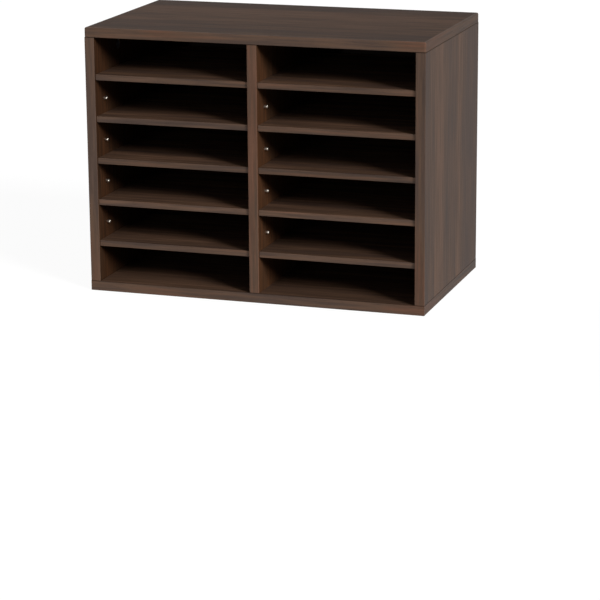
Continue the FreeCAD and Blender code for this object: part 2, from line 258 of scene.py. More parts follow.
# strip is the length and width of the warmer and cooler strips in mm, warmth their middle, chance how far
# they stray from it, tone how light the print is, and on some faces painted light or shade, mottle and
# contrast what the streaks do to warmth and tone, gloss the specular level
boardLook = {"palette": "paper", "strip": (500, 42), "warmth": 0.5, "chance": 0.4, "mottle": 0.2,
             "tone": 1.0, "contrast": 0.09, "gloss": 0.05}
edgeLook = {"palette": "edging", "strip": (150, 14), "warmth": 0.5, "chance": 0.25, "mottle": 0.3,
            "tone": 1.45, "contrast": 0.2, "gloss": 0.15}


def plannedWarmth(tree, bent, plan):
    # warmth along one axis as the photo shows it: plan is (axis, [(place in mm, warmth), ...])
    axis, stops = plan
    low, high = (corner["XYZ".index(axis)] for corner in (cadLow, cadHigh))
    place = addNode(tree, "SeparateXYZ", links={0: bent}).outputs[axis]
    share = addNode(tree, "MapRange", inputs={"From Min": low, "From Max": high}, links={"Value": place})
    ramp = addNode(tree, "ValToRGB", links={0: share.outputs[0]})
    fillRamp(ramp, [((at * mm - low) / (high - low), warmth) for at, warmth in stops])
    return ramp.outputs[0]


def grainPattern(tree, axis, look):
    # the node of the piece's own coordinates, and sockets for the warmth, streaks, fine lines and pores
    place = addNode(tree, "TexCoord")
    waverAt = addNode(tree, "Mapping", links={"Vector": place.outputs["Object"]},
                      inputs={"Scale": stretched(axis, *walnut["waver"]), "Location": look["offset"]})
    waver = addNode(tree, "TexNoise", inputs={"Scale": 1, "Detail": 1},
                    links={"Vector": waverAt.outputs[0]})
    # noise runs from 0 to 1, so half is taken off before it pushes the grain to and fro
    centred = addNode(tree, "VectorMath", inputs={1: (0.5, 0.5, 0.5)}, links={0: waver.outputs["Color"]},
                      operation="SUBTRACT")
    pushed = addNode(tree, "VectorMath", inputs={1: [walnut["waverAmount"] * mm] * 3},
                     links={0: centred.outputs[0], 2: place.outputs["Object"]}, operation="MULTIPLY_ADD")
    bent = pushed.outputs[0]
    sizes = {"strip": look["strip"], **walnut["marks"]}
    found = {}
    for name, (detail, rough, low, high) in walnut["noise"].items():
        at = addNode(tree, "Mapping", links={"Vector": bent},
                     inputs={"Scale": stretched(axis, *sizes[name]), "Location": look["offset"]})
        noise = addNode(tree, "TexNoise", inputs={"Scale": 1, "Detail": detail, "Roughness": rough},
                        links={"Vector": at.outputs[0]})
        spread = addNode(tree, "MapRange", inputs={"From Min": low, "From Max": high},
                         links={"Value": noise.outputs[0]})
        found[name] = spread.outputs[0]
    # the warmth is planned from the photo or even, and chance moves it up or down
    drift = addNode(tree, "MapRange", inputs={"To Min": -look["chance"], "To Max": look["chance"]},
                    links={"Value": found["strip"]})
    planned = {1: plannedWarmth(tree, bent, look["plan"])} if "plan" in look else {}
    warmth = addNode(tree, "Math", inputs={1: look["warmth"]}, links={0: drift.outputs[0], **planned},
                     operation="ADD")
    found["strip"] = warmth.outputs[0]
    return place, found


def shaded(tree, colour, pattern, low, high):
    # colour times a factor that runs from low to high with the pattern
    factor = addNode(tree, "MapRange", inputs={"To Min": low, "To Max": high}, links={"Value": pattern})
    scaled = addNode(tree, "VectorMath", links={0: colour, "Scale": factor.outputs[0]}, operation="SCALE")
    return scaled.outputs[0]


def walnutColour(tree, found, look):
    # the strips and, in part, the streaks run from cool to warm; streaks, lines and pores also shade it
    drift = addNode(tree, "MapRange", inputs={"To Min": -look["mottle"], "To Max": look["mottle"]},
                    links={"Value": found["streak"]})
    shifted = addNode(tree, "Math", links={0: found["strip"], 1: drift.outputs[0]}, operation="ADD",
                      use_clamp=True)
    strips = addNode(tree, "ValToRGB", links={0: shifted.outputs[0]})
    fillRamp(strips, list(zip((0, 0.5, 1), walnut[look["palette"]])))
    tone, contrast = look["tone"], look["contrast"]
    lines = contrast * walnut["lineShare"]
    colour = shaded(tree, strips.outputs[0], found["streak"], (1 - contrast) * tone, (1 + contrast) * tone)
    colour = shaded(tree, colour, found["line"], 1 - lines, 1 + lines)
    return shaded(tree, colour, found["pore"], 1, walnut["poreTone"])


def jointShading(tree, place):
    # 1, and less in a thin line at the joints under the top panel and over the bottom panel: a glue line
    # with painted shade of the joint's groove
    height = addNode(tree, "SeparateXYZ", links={0: place.outputs["Object"]}).outputs["Z"]
    shades = []
    for joint in (topJoint, bottomJoint):
        above = addNode(tree, "Math", inputs={1: joint}, links={0: height}, operation="SUBTRACT")
        gap = addNode(tree, "Math", links={0: above.outputs[0]}, operation="ABSOLUTE")
        shade = addNode(tree, "MapRange", links={"Value": gap.outputs[0]},
                        inputs={"From Max": walnut["jointReach"] * mm, "To Min": walnut["jointShade"]})
        shades.append(shade.outputs[0])
    return addNode(tree, "Math", links={0: shades[0], 1: shades[1]}, operation="MINIMUM").outputs[0]


def finishWalnut(tree, place, colour, roughness, found, look):
    # the pores are pressed in, and where the piece has joints both its colour and its gloss darken there, a
    # glue line with painted shade
    height = addNode(tree, "Math", inputs={0: 1.0}, links={1: found["pore"]}, operation="SUBTRACT")
    bump = addNode(tree, "Bump", inputs={"Strength": 1.0, "Distance": walnut["poreDepth"] * mm},
                   links={"Height": height.outputs[0]})
    skin = addNode(tree, "BsdfPrincipled",
                   inputs={"IOR": walnut["ior"], "Specular IOR Level": look["gloss"]},
                   links={"Base Color": colour, "Roughness": roughness, "Normal": bump.outputs[0]})
    if look.get("joints"):
        shade = jointShading(tree, place)
        gloss = addNode(tree, "Math", inputs={1: look["gloss"]}, links={0: shade}, operation="MULTIPLY")
        darker = addNode(tree, "VectorMath", links={0: colour, "Scale": shade}, operation="SCALE")
        tree.links.new(gloss.outputs[0], skin.inputs["Specular IOR Level"])
        tree.links.new(darker.outputs[0], skin.inputs["Base Color"])
    addNode(tree, "OutputMaterial", links={"Surface": skin.outputs[0]})


def walnutLaminate(name, grain, across, low, high, look):
    # melamine laminate on chipboard: printed walnut paper pressed on both faces, so the eye sees soft
    # straight strips under a matt sheen, and pale chips wherever the board is cut
    material, tree = newMaterial(name)
    place, found = grainPattern(tree, grain, look)
    colour = walnutColour(tree, found, look)
    normal = addNode(tree, "SeparateXYZ", links={0: place.outputs["Normal"]}).outputs[across]
    if "shadedInnerLook" in look:
        # the face towards the compartments on its right gets darker colours of its own: painted shade of
        # the compartments
        inner = walnutColour(tree, found, {**look, **look["shadedInnerLook"]})
        turned = addNode(tree, "Math", inputs={1: 0.5}, links={0: normal}, operation="GREATER_THAN")
        both = addNode(tree, "Mix", links={0: turned.outputs[0], 6: colour, 7: inner}, data_type="RGBA")
        colour = both.outputs[2]
    slant = addNode(tree, "Math", links={0: normal}, operation="ABSOLUTE")
    facing = addNode(tree, "Math", inputs={1: walnut["straight"]}, links={0: slant.outputs[0]},
                     operation="GREATER_THAN")
    through = addNode(tree, "SeparateXYZ", links={0: place.outputs["Object"]}).outputs[across]
    above = addNode(tree, "Math", inputs={1: (low + high) / 2}, links={0: through}, operation="SUBTRACT")
    depth = addNode(tree, "Math", links={0: above.outputs[0]}, operation="ABSOLUTE")
    outside = addNode(tree, "Math", inputs={1: (high - low) / 2 - walnut["skin"] * mm},
                      links={0: depth.outputs[0]}, operation="GREATER_THAN")
    skin = addNode(tree, "Math", links={0: facing.outputs[0], 1: outside.outputs[0]}, operation="MULTIPLY")
    chipAt = addNode(tree, "Mapping", inputs={"Scale": stretched(grain, *walnut["chipSize"])},
                     links={"Vector": place.outputs["Object"]})
    chips = addNode(tree, "TexVoronoi", inputs={"Scale": 1, "Randomness": 1},
                    links={"Vector": chipAt.outputs[0]})
    chipTone = addNode(tree, "SeparateColor", links={0: chips.outputs["Color"]})
    chipColour = addNode(tree, "ValToRGB", links={0: chipTone.outputs[0]})
    fillRamp(chipColour, [(0, walnut["chipDark"]), (1, walnut["chip"])])
    mixed = addNode(tree, "Mix", links={0: skin.outputs[0], 6: chipColour.outputs[0], 7: colour},
                    data_type="RGBA")
    smooth, dull = walnut["laminateRoughness"]
    sheen = addNode(tree, "MapRange", inputs={"To Min": smooth, "To Max": dull},
                    links={"Value": found["line"]})
    rough = addNode(tree, "Mix", inputs={2: walnut["chipRoughness"]},
                    links={0: skin.outputs[0], 3: sheen.outputs[0]}, data_type="FLOAT")
    finishWalnut(tree, place, mixed.outputs[2], rough.outputs[0], found, look)
    return material


def walnutEdging(name, grain, look):
    # printed plastic edging, rolled on with hot glue and its arrises scraped round, so it is a little
    # glossier than the board and its grain always runs along the edge
    material, tree = newMaterial(name)
    place, found = grainPattern(tree, grain, look)
    smooth, dull = walnut["edgingRoughness"]
    sheen = addNode(tree, "MapRange", inputs={"To Min": smooth, "To Max": dull},
                    links={"Value": found["line"]})
    finishWalnut(tree, place, walnutColour(tree, found, look), sheen.outputs[0], found, look)
    return material


def dress(node, material):
    for slot in nodes[node].material_slots:
        slot.material = material


def dressBoard(node, grain, across, changes):
    low, high = (corner["XYZ".index(across)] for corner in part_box(node))
    look = {**boardLook, **changes}
    dress(node, walnutLaminate("pressedWalnutLaminate_" + node, grain, across, low, high, look))


def dressBand(node, grain, changes):
    dress(node, walnutEdging("printedPlasticEdging_" + node, grain, {**edgeLook, **changes}))


# where the photo shows cooler and warmer wood: an axis, and places along it as (mm, warmth)
plans = {
    "top": ("Y", [(-150, 0.45), (-118, 0.3), (-80, 0.3), (-48, 0.75), (-28, 0.7), (0, 0.4), (52, 0.85),
                  (90, 0.85), (112, 0.15), (150, 0.0)]),
    "side": ("Y", [(-150, 0.25), (-104, 0.3), (-94, 1.05), (-62, 0.9), (-40, 0.3), (20, 0.2), (34, 0.85),
                   (50, 0.7), (62, 0.3), (84, 0.1), (145, 0.0)]),
    "topFront": ("X", [(-262, 0.5), (-180, 0.6), (-130, 0.8), (-80, 0.5), (-26, 0.1), (26, 0.0), (90, 0.15),
                       (190, 0.45), (236, 0.85)]),
    "bottomFront": ("X", [(-236, 0.55), (-180, 0.5), (-130, 0.5), (-80, 0.4), (-26, 0.25), (26, 0.0),
                          (90, 0.25), (190, 0.1), (236, 0.65)]),
    "leftFront": ("Z", [(40, 0.65), (90, 0.55), (135, 0.35), (180, 0.0), (225, 0.0), (270, 0.2), (320, 0.3),
                        (365, 0.25)]),
    "rightFront": ("Z", [(40, 0.7), (90, 0.65), (135, 0.3), (180, 0.0), (225, 0.0), (270, 0.2),
                         (365, 0.35)]),
    "divider": ("Z", [(40, 0.75), (90, 0.65), (135, 0.75), (180, 1.0), (225, 0.95), (270, 0.8),
                      (365, 0.85)]),
    "ends": ("Y", [(-150, 0.85), (-75, 0.75), (-25, 0.4), (75, 0.4), (125, 0.15)]),
}
# offset is the place in the endless print that a board or a band is cut from
boards = {
    # node: grain direction, direction through the board, what differs from boardLook
    # the top panel's tone, darker than the same paper on the shelves, is painted shade for how the lamps
    # fall on the top
    "top_panel": ("X", "Z", {"offset": (0.3, 7.1, 2.0), "plan": plans["top"], "chance": 0.25, "tone": 0.56,
                             "contrast": 0.14, "mottle": 0.35, "gloss": 0.075}),
    "bottom_panel": ("X", "Z", {"offset": (2.9, 3.4, 5.2)}),
    # the inner faces' lower tones, here and on the divider, are painted shade of the compartments
    "left_side_panel": ("Z", "X", {"offset": (4.5, 1.2, 0.7), "joints": True,
                                   "shadedInnerLook": {"palette": "inner", "tone": 0.54, "contrast": 0.3}}),
    # the right side's lower tone is painted shade, fitted together with its higher gloss to how the key
    # lamp falls on that side
    "right_side_panel": ("Z", "X", {"offset": (6.1, 5.0, 3.3), "joints": True, "gloss": 0.4,
                                    "plan": plans["side"], "chance": 0.2, "tone": 0.66, "contrast": 0.15,
                                    "mottle": 0.35}),
    "centre_divider": ("Z", "X", {"offset": (1.7, 8.6, 4.1),
                                  "shadedInnerLook": {"palette": "inner", "tone": 0.84, "contrast": 0.25}}),
}
topBand = {"offset": (0.4, 5.2, 3.1), "joints": True}
bottomBand = {"offset": (2.8, 6.3, 8.6), "joints": True}
leftBand = {"offset": (1.2, 7.3, 4.8), "joints": True}
rightBand = {"offset": (7.4, 2.8, 9.3), "joints": True}
# the same edging is lighter on the front faces and darker on the end bands, which face the key lamp:
# painted light and painted shade
frontBand = {"contrast": 0.14, "tone": 1.42}
topEndBand = {**topBand, "plan": plans["ends"], "chance": 0.12, "tone": 0.85}
bottomEndBand = {**bottomBand, "plan": plans["ends"], "chance": 0.12, "tone": 0.8, "gloss": 0.22}
bands = {
    # node: grain direction, what differs from edgeLook
    "top_front_band": ("X", {**topBand, **frontBand, "plan": plans["topFront"]}),
    "top_rear_band": ("X", topBand),
    "top_left_band": ("Y", topEndBand),
    "top_right_band": ("Y", topEndBand),
    "bottom_front_band": ("X", {**bottomBand, **frontBand, "plan": plans["bottomFront"]}),
    "bottom_rear_band": ("X", bottomBand),
    "bottom_left_band": ("Y", bottomEndBand),
    "bottom_right_band": ("Y", bottomEndBand),
    "left_side_front_band": ("Z", {**leftBand, "plan": plans["leftFront"], "contrast": 0.15, "tone": 1.53}),
    "left_side_rear_band": ("Z", leftBand),
    "right_side_front_band": ("Z", {**rightBand, "plan": plans["rightFront"], "contrast": 0.15,
                                    "tone": 1.3}),
    "right_side_rear_band": ("Z", rightBand),
    "divider_front_band": ("Z", {"offset": (3.4, 1.9, 2.5), "plan": plans["divider"], "joints": True}),
}
shelves = {
    "columns": {"left": (2.2, 0.3), "right": (9.1, 0.35)},    # offset along X, and warmth of the bands
    "bandTones": [1.334, 1.334, 1.218, 1.595, 1.45],          # top shelf first, as the photo shows them
    "boardStep": 3.7,                                         # offset from one shelf to the next
    "bandStep": 2.1,
    "strip": (220, 18),
    "contrast": 0.17,
}


def dressShelves():
    for column, (shift, warmth) in shelves["columns"].items():
        for number, tone in enumerate(shelves["bandTones"], start=1):
            shelf = column + "_shelf_" + str(number)
            dressBoard(shelf, "X", "Z", {"offset": (shift, shelves["boardStep"] * number, 0),
                                         "strip": shelves["strip"], "contrast": shelves["contrast"]})
            dressBand(shelf + "_band", "X", {"offset": (shift, 0, shelves["bandStep"] * number),
                                             "tone": tone, "warmth": warmth})


for board, (grain, across, changes) in boards.items():
    dressBoard(board, grain, across, changes)
for band, (grain, changes) in bands.items():
    dressBand(band, grain, changes)
dressShelves()
print("boards and edging dressed")


# hardboard back

hardboard = {
    # the inside face's near black colours are painted shade of the compartments' depths
    "insideShadeBlack": "#080504",
    "insideShadeBlackLight": "#0D0907",
    "fibre": "#6B4A30",
    "fibreDark": "#4A321F",
    "fibreSize": (6, 0.8),
    "fibreSpan": (0.3, 0.7),         # of the noise, from the dark to the light fibres
    "fibreCurl": 1.5,
    "screenPitch": 1.6,              # mm between the wires of the press screen
    "screenDepth": 0.1,
    "screenWobble": 0.3,
    "paintedRoughness": 0.8,
    "wovenRoughness": 0.9,
    "ior": 1.5,
    "gloss": 0.02,
}


def wetPressedHardboard():
    # wet pressed hardboard: a smooth face inside, near black as painted shade of the deep compartments, and
    # outside the brown face that the wire screen of the press left woven
    material, tree = newMaterial("wetPressedHardboard")
    place = addNode(tree, "TexCoord")
    normal = addNode(tree, "SeparateXYZ", links={0: place.outputs["Normal"]}).outputs["Y"]
    outside = addNode(tree, "Math", inputs={1: 0.5}, links={0: normal}, operation="GREATER_THAN")
    fibreAt = addNode(tree, "Mapping", inputs={"Scale": stretched("X", *hardboard["fibreSize"])},
                      links={"Vector": place.outputs["Object"]})
    fibres = addNode(tree, "TexNoise", links={"Vector": fibreAt.outputs[0]},
                     inputs={"Scale": 1, "Detail": 3, "Distortion": hardboard["fibreCurl"]})
    faces = []
    for shades in (("insideShadeBlack", "insideShadeBlackLight"), ("fibreDark", "fibre")):
        face = addNode(tree, "ValToRGB", links={0: fibres.outputs[0]})
        fillRamp(face, [(at, hardboard[shade]) for at, shade in zip(hardboard["fibreSpan"], shades)])
        faces.append(face.outputs[0])
    colour = addNode(tree, "Mix", links={0: outside.outputs[0], 6: faces[0], 7: faces[1]}, data_type="RGBA")
    weave = []
    for axis in "XZ":
        # the bands of this texture lie pi / 10 apart at scale 1
        wires = addNode(tree, "TexWave", links={"Vector": place.outputs["Object"]}, bands_direction=axis,
                        inputs={"Scale": math.pi / 10 / (hardboard["screenPitch"] * mm),
                                "Distortion": hardboard["screenWobble"]})
        weave.append(wires.outputs["Fac"])
    woven = addNode(tree, "Math", links={0: weave[0], 1: weave[1]}, operation="MAXIMUM")
    shown = addNode(tree, "Math", links={0: woven.outputs[0], 1: outside.outputs[0]}, operation="MULTIPLY")
    bump = addNode(tree, "Bump", inputs={"Strength": 1.0, "Distance": hardboard["screenDepth"] * mm},
                   links={"Height": shown.outputs[0]})
    rough = addNode(tree, "MapRange", links={"Value": outside.outputs[0]},
                    inputs={"To Min": hardboard["paintedRoughness"], "To Max": hardboard["wovenRoughness"]})
    sheet = addNode(tree, "BsdfPrincipled",
                    inputs={"IOR": hardboard["ior"], "Specular IOR Level": hardboard["gloss"]},
                    links={"Base Color": colour.outputs[2], "Roughness": rough.outputs[0],
                           "Normal": bump.outputs[0]})
    addNode(tree, "OutputMaterial", links={"Surface": sheet.outputs[0]})
    return material


dress("back_panel", wetPressedHardboard())
print("hardboard back dressed")


# tools for the turned pieces

hair = 1e-6    # two places count as one within this, in metres
past = 1.0     # how far a cutter reaches past what it cuts, in mm
ridgeShape = {
    "halfWidth": 0.28,    # of a thread's ridge at its root, as a share of the pitch
    "sunk": 0.15,         # how deep the root lies inside the core, in mm
    "steps": 20,          # in a turn
}


def startFresh():
    if bpy.context.object and bpy.context.object.mode != "OBJECT":
        bpy.ops.object.mode_set(mode="OBJECT")
    bpy.ops.object.select_all(action="DESELECT")


def pick(piece, kind, test):
    # leaves the piece in edit mode with only the edges or corners that pass the test selected
    bpy.ops.object.mode_set(mode="EDIT")
    bpy.ops.mesh.select_mode(type=kind)
    bpy.ops.mesh.select_all(action="DESELECT")
    shape = bmesh.from_edit_mesh(piece.data)
    for part in {"EDGE": shape.edges, "VERT": shape.verts}[kind]:
        if test(part):
            part.select_set(True)
    shape.select_flush_mode()
    bmesh.update_edit_mesh(piece.data)


def faceOutwards():
    # turns every face of the piece in edit mode outwards, and leaves edit mode
    bpy.ops.mesh.select_all(action="SELECT")
    bpy.ops.mesh.normals_make_consistent(inside=False)
    bpy.ops.object.mode_set(mode="OBJECT")


def turnSteps(name, steps, sides):
    # a turned piece round the Z axis: a disc, drawn up and widened or narrowed step by step
    # steps are (height, radius) in mm, and a flat shoulder is a step that rises 0.001 mm
    startFresh()
    firstHeight, firstRadius = steps[0]
    bpy.ops.mesh.primitive_circle_add(vertices=sides, radius=firstRadius * mm, fill_type="NGON",
                                      location=(0, 0, firstHeight * mm))
    piece = bpy.context.object
    piece.name = name
    bpy.ops.object.transform_apply(location=True)
    bpy.ops.object.mode_set(mode="EDIT")
    bpy.ops.mesh.select_all(action="SELECT")
    for (height, radius), (nextHeight, nextRadius) in zip(steps, steps[1:]):
        rise = (0, 0, (nextHeight - height) * mm)
        bpy.ops.mesh.extrude_region_move(TRANSFORM_OT_translate={"value": rise})
        wider = nextRadius / radius
        bpy.ops.transform.resize(value=(wider, wider, 1), center_override=(0, 0, nextHeight * mm))
    faceOutwards()
    return piece


def softenRim(piece, height, radius, width, segments):
    # rounds the turned piece's rim at this height, where it is that far from the axis
    def onRim(edge):
        return all(abs(end.co.z - height * mm) < hair and abs(end.co.xy.length - radius * mm) < hair
                   for end in edge.verts)

    pick(piece, "EDGE", onRim)
    bpy.ops.mesh.bevel(offset=width * mm, offset_type="WIDTH", segments=segments, affect="EDGES")
    bpy.ops.object.mode_set(mode="OBJECT")


def cutAway(piece, cutter):
    startFresh()
    piece.select_set(True)
    bpy.context.view_layer.objects.active = piece
    cut = piece.modifiers.new("cut", "BOOLEAN")
    cut.operation = "DIFFERENCE"
    cut.solver = "EXACT"
    cut.object = cutter
    bpy.ops.object.modifier_apply(modifier=cut.name)
    bpy.data.objects.remove(cutter)


def boxCutter(lowCorner, highCorner):
    # corners in mm
    startFresh()
    middle = [(a + b) / 2 * mm for a, b in zip(lowCorner, highCorner)]
    bpy.ops.mesh.primitive_cube_add(size=1, location=middle)
    cutter = bpy.context.object
    cutter.scale = [(b - a) * mm for a, b in zip(lowCorner, highCorner)]
    bpy.ops.object.transform_apply(location=True, scale=True)
    return cutter


def cutCross(piece, sizes, low, high):
    # the cross for a screwdriver, from one height to another
    long, short = sizes["crossLength"] / 2, sizes["crossWidth"] / 2
    for x, y in ((long, short), (short, long)):
        cutAway(piece, boxCutter((-x, -y, low), (x, y, high)))


def threadRidge(name, thread):
    # one helical ridge round the Z axis, closed at both ends; the thread's sizes are in mm
    core, pitch, start = thread["core"], thread["pitch"], thread["start"]
    root, half = core - ridgeShape["sunk"], pitch * ridgeShape["halfWidth"]
    startFresh()
    bpy.ops.mesh.primitive_circle_add(vertices=3, radius=half * mm, fill_type="NOTHING",
                                      location=(core * mm, 0, start * mm), rotation=(math.pi / 2, 0, 0))
    ridge = bpy.context.object
    ridge.name = name
    bpy.ops.object.transform_apply(location=True, rotation=True)
    for corner, (x, z) in zip(ridge.data.vertices, ((root, -half), (thread["crest"], 0), (root, half))):
        corner.co = (x * mm, 0, (start + z) * mm)
    turns = ridge.modifiers.new("turns", "SCREW")
    turns.axis = "Z"
    turns.angle = 2 * math.pi
    turns.screw_offset = pitch * mm
    turns.iterations = round((thread["end"] - start) / pitch)
    turns.steps = ridgeShape["steps"]
    turns.render_steps = ridgeShape["steps"]
    turns.use_merge_vertices = True
    bpy.context.view_layer.objects.active = ridge
    bpy.ops.object.modifier_apply(modifier=turns.name)
    pick(ridge, "EDGE", lambda edge: edge.is_boundary)
    bpy.ops.mesh.edge_face_add()
    faceOutwards()
    return ridge


def joined(name, pieces):
    startFresh()
    for piece in pieces:
        piece.select_set(True)
    bpy.context.view_layer.objects.active = pieces[0]
    bpy.ops.object.join()
    pieces[0].name = name
    pieces[0].data.name = name
    return pieces[0]


def turnedTo(direction, place):
    # the matrix that stands a piece made along Z at this place in mm, pointing this way
    turn = Vector(direction).to_track_quat("Z", "Y").to_matrix().to_4x4()
    return Matrix.Translation(Vector(place) * mm) @ turn


def copies(name, pattern, places):
    # one piece made of a copy of the pattern at each place, and the pattern removed
    made = []
    for number, place in enumerate(places, start=1):
        copy = pattern.copy()
        copy.data = pattern.data.copy()
        copy.name = name + "_" + str(number)
        bpy.context.scene.collection.objects.link(copy)
        copy.data.transform(place)
        made.append(copy)
    bpy.data.objects.remove(pattern)
    return joined(name, made)


def settle(piece, material, node, angle=35):
    # smooth shading up to this angle, its material, and its place among the CAD bodies
    startFresh()
    piece.select_set(True)
    bpy.context.view_layer.objects.active = piece
    bpy.ops.object.shade_smooth_by_angle(angle=math.radians(angle))
    piece.data.materials.clear()
    piece.data.materials.append(material)
    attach(piece, "case")
    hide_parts(node)


# metals and beech

metalFinishes = {
    # roughness is the least and the most; mottle is the size of the clouds and depth their relief, in mm
    "tumbledNickelPlatedSteel": {     # warm and softly blurred, from plating loose in a barrel
        "light": "#DFD8CE", "dark": "#CAC2B6", "roughness": (0.36, 0.42), "mottle": 1.5, "depth": 0.004},
    "darkDieCastZinc": {              # dull grey, with the slight grain of the casting's skin
        "light": "#6E7072", "dark": "#5A5C5F", "roughness": (0.4, 0.55), "mottle": 1.2, "depth": 0.02},
    "brightZincPlatedSteel": {        # cool and shiny, a little cloudy
        "light": "#CFD0CE", "dark": "#B5B8BC", "roughness": (0.2, 0.34), "mottle": 2.0, "depth": 0.006},
}
cloudSpan = (0.35, 0.65)    # of the noise, from the dark to the light of a metal
beech = {
    "light": "#D8B48A",
    "dark": "#B98F66",
    "grainSize": (25, 1.5),
    "grainSpan": (0.3, 0.7),
    "grainDepth": 0.03,
    "grainStrength": 0.6,
    "fleckSize": (3, 0.35),
    "fleckSpan": (0.62, 0.7),
    "fleckTone": 0.7,
    "roughness": 0.7,
    "gloss": 0.35,
}


def platedMetal(name, finish):
    # a clean sheen with the faint mottling that plating or casting leaves
    material, tree = newMaterial(name)
    place = addNode(tree, "TexCoord")
    at = addNode(tree, "Mapping", inputs={"Scale": [1 / (finish["mottle"] * mm)] * 3},
                 links={"Vector": place.outputs["Object"]})
    cloud = addNode(tree, "TexNoise", inputs={"Scale": 1, "Detail": 3}, links={"Vector": at.outputs[0]})
    colour = addNode(tree, "ValToRGB", links={0: cloud.outputs[0]})
    fillRamp(colour, list(zip(cloudSpan, (finish["dark"], finish["light"]))))
    smooth, dull = finish["roughness"]
    sheen = addNode(tree, "MapRange", inputs={"To Min": smooth, "To Max": dull},
                    links={"Value": cloud.outputs[0]})
    bump = addNode(tree, "Bump", inputs={"Strength": 1.0, "Distance": finish["depth"] * mm},
                   links={"Height": cloud.outputs[0]})
    metal = addNode(tree, "BsdfPrincipled", inputs={"Metallic": 1.0},
                    links={"Base Color": colour.outputs[0], "Roughness": sheen.outputs[0],
                           "Normal": bump.outputs[0]})
    addNode(tree, "OutputMaterial", links={"Surface": metal.outputs[0]})
    return material


def turnedBeech():
    # turned beech: pale pinkish wood with short dark flecks along the grain
    material, tree = newMaterial("turnedBeech")
    place = addNode(tree, "TexCoord")
    at = addNode(tree, "Mapping", inputs={"Scale": stretched("Z", *beech["grainSize"])},
                 links={"Vector": place.outputs["Object"]})
    grain = addNode(tree, "TexNoise", inputs={"Scale": 1, "Detail": 3}, links={"Vector": at.outputs[0]})
    colour = addNode(tree, "ValToRGB", links={0: grain.outputs[0]})
    fillRamp(colour, list(zip(beech["grainSpan"], (beech["dark"], beech["light"]))))
    fleckAt = addNode(tree, "Mapping", inputs={"Scale": stretched("Z", *beech["fleckSize"])},
                      links={"Vector": place.outputs["Object"]})
    flecks = addNode(tree, "TexNoise", inputs={"Scale": 1, "Detail": 1},
                     links={"Vector": fleckAt.outputs[0]})
    low, high = beech["fleckSpan"]
    dark = addNode(tree, "MapRange", links={"Value": flecks.outputs[0]},
                   inputs={"From Min": low, "From Max": high, "To Min": 1.0, "To Max": beech["fleckTone"]})
    flecked = addNode(tree, "VectorMath", links={0: colour.outputs[0], "Scale": dark.outputs[0]},
                      operation="SCALE")
    bump = addNode(tree, "Bump", links={"Height": grain.outputs[0]},
                   inputs={"Strength": beech["grainStrength"], "Distance": beech["grainDepth"] * mm})
    wood = addNode(tree, "BsdfPrincipled",
                   inputs={"Roughness": beech["roughness"], "Specular IOR Level": beech["gloss"]},
                   links={"Base Color": flecked.outputs[0], "Normal": bump.outputs[0]})
    addNode(tree, "OutputMaterial", links={"Surface": wood.outputs[0]})
    return material


metals = {name: platedMetal(name, finish) for name, finish in metalFinishes.items()}


# shelf pins

shelfPin = {
    "diameter": 5.0,
    "rounding": 1.8,      # of the end that shows
    "roundingSteps": 7,
    "chamfer": 0.6,       # of the end in the board
    "sides": 32,
    "smoothAngle": 50,
    "walls": {"left_side": 1, "divider_left": -1, "divider_right": 1, "right_side": -1},    # way along X
    "columns": (-118.5, 107.5),    # along Y, one near the front and one near the back
    "lowestRow": 70.0,
    "pitch": 32.0,
    "rows": 9,
}


def addShelfPins():
    # each wall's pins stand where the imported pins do, and point the same way
    radius, chamfer = shelfPin["diameter"] / 2, shelfPin["chamfer"]
    heights = [shelfPin["lowestRow"] + shelfPin["pitch"] * row for row in range(shelfPin["rows"])]
    for wall, way in shelfPin["walls"].items():
        node = wall + "_shelf_pins"
        low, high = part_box(node)
        length = (high.x - low.x) / mm
        foot = (low.x if way > 0 else high.x) / mm
        pin = turnSteps(wall + "_pin", [(0, radius - chamfer), (chamfer, radius), (length, radius)],
                        shelfPin["sides"])
        softenRim(pin, length, radius, shelfPin["rounding"], shelfPin["roundingSteps"])
        places = [turnedTo((way, 0, 0), (foot, y, height))
                  for y in shelfPin["columns"] for height in heights]
        settle(copies(wall + "_pins", pin, places), metals["tumbledNickelPlatedSteel"], node,
               shelfPin["smoothAngle"])


addShelfPins()
print("shelf pins made")


# cams and their bolts

camLock = {
    "radius": 7.4,
    "depth": 12.2,
    "sides": 48,
    "chamfer": 0.5,
    "rim": 0.35,
    "rimSteps": 3,
    "skin": 2.5,            # board left behind the cam
    "wall": 2.0,
    "neckSlot": 4.6,
    "pocket": 7.0,
    "pocketSides": 40,
    "lip": 0.2,             # by which the pocket's side opening is lower than the pocket
    "drop": 24.0,           # below the top panel
    "setback": 96.0,
    "crossWidth": 1.5,
    "crossLength": 9.0,
    "crossDepth": 1.7,
    "arrowRadius": 0.9,     # of the small arrow that points to the bolt
    "arrowSides": 3,
    "arrowDepth": 0.4,
    "arrowPlace": 5.9,      # from the middle of the face
}
camBolt = {
    # turned steps as (distance below the top panel, radius) in mm
    "steps": [(-11, 1.6), (-10, 2.05), (0, 2.05), (0.001, 3.5), (0.3, 3.7), (1.2, 3.7), (1.5, 3.5),
              (1.501, 3.0), (14.2, 3.0), (14.9, 2.1), (19.7, 2.1), (19.701, 3.1), (19.9, 3.3), (22.0, 3.3),
              (22.3, 3.0)],
    "sides": 28,
    "thread": {"core": 2.05, "crest": 2.5, "pitch": 1.25, "start": -9.6, "end": -0.6},
}
dividerLow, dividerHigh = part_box("centre_divider")
boardThickness = round((dividerHigh.x - dividerLow.x) / mm, 3)
caseHalfWidth, caseHalfDepth = cadHigh.x / mm, cadHigh.y / mm
# the middle of each upright and the way its cams face, along X
uprights = [(boardThickness / 2 - caseHalfWidth, 1), (0.0, -1), (caseHalfWidth - boardThickness / 2, -1)]


def stations(setback):
    # each upright near the front and near the back: its middle, the way its cams face, and Y
    return [(middle, facing, y) for middle, facing in uprights
            for y in (setback - caseHalfDepth, caseHalfDepth - setback)]


